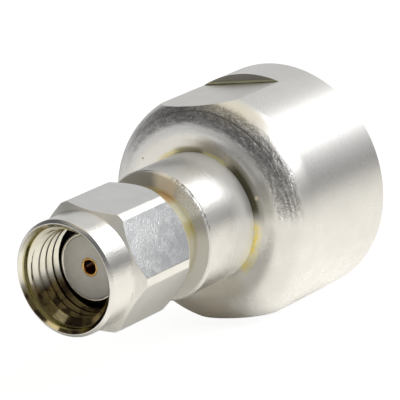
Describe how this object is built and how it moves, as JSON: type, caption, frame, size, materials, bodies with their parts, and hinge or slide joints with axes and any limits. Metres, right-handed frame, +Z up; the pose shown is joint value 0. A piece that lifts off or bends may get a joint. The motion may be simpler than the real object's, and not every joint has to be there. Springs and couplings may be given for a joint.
{
  "type": "coaxial adapter, SMA plug to threaded coaxial plug",
  "caption": "Straight coaxial adapter: a small hex coupling nut over a recessed socket plug at one end, a large round coupling nut with wrench flats at the other, on one turned neck.",
  "frame": {"origin": "on the common axis, at the reference plane of the SMA plug, where its outer contact, insulator and contact end", "axes": "+X along the axis and out of the SMA end; +Z up, square to the big nut's two wrench flats; +Y completes the right-handed set"},
  "size_m": [0.0251, 0.0159, 0.016],
  "materials": {
    "nut_plating": "white bronze plate, bright turned",
    "body_plating": "white bronze plate, satin",
    "contact_plating": "white bronze plate, satin",
    "gold": "gold plate",
    "ptfe": "PTFE, matte",
    "gasket_rubber": "silicone rubber",
    "spring_metal": "spring copper alloy"
  },
  "bodies": {
    "adapter": {"adapter_body": "body_plating", "sma_outer_contact": "contact_plating", "sma_insulator": "ptfe", "sma_socket_contact": "gold", "sma_gasket": "gasket_rubber", "tnc_outer_contact": "contact_plating", "tnc_insulator": "ptfe", "tnc_pin_contact": "gold", "tnc_gasket": "gasket_rubber"},
    "sma_ring": {"sma_snap_ring": "spring_metal"},
    "sma_nut": {"sma_coupling_nut": "nut_plating"},
    "tnc_ring": {"tnc_snap_ring": "spring_metal"},
    "tnc_nut": {"tnc_coupling_nut": "nut_plating"}
  },
  "joints": [
    {"name": "sma_nut_float", "type": "slide", "parent": "adapter", "child": "sma_ring", "axis": [1, 0, 0], "range_m": [-0.00015, 0.00015]},
    {"name": "sma_nut_spin", "type": "hinge", "parent": "sma_ring", "child": "sma_nut", "pos_m": [-0.00405, 0, 0], "axis": [1, 0, 0], "continuous": true},
    {"name": "tnc_nut_float", "type": "slide", "parent": "adapter", "child": "tnc_ring", "axis": [1, 0, 0], "range_m": [-0.00015, 0.00015]},
    {"name": "tnc_nut_spin", "type": "hinge", "parent": "tnc_ring", "child": "tnc_nut", "pos_m": [-0.01277, 0, 0], "axis": [-1, 0, 0], "continuous": true}
  ]
}
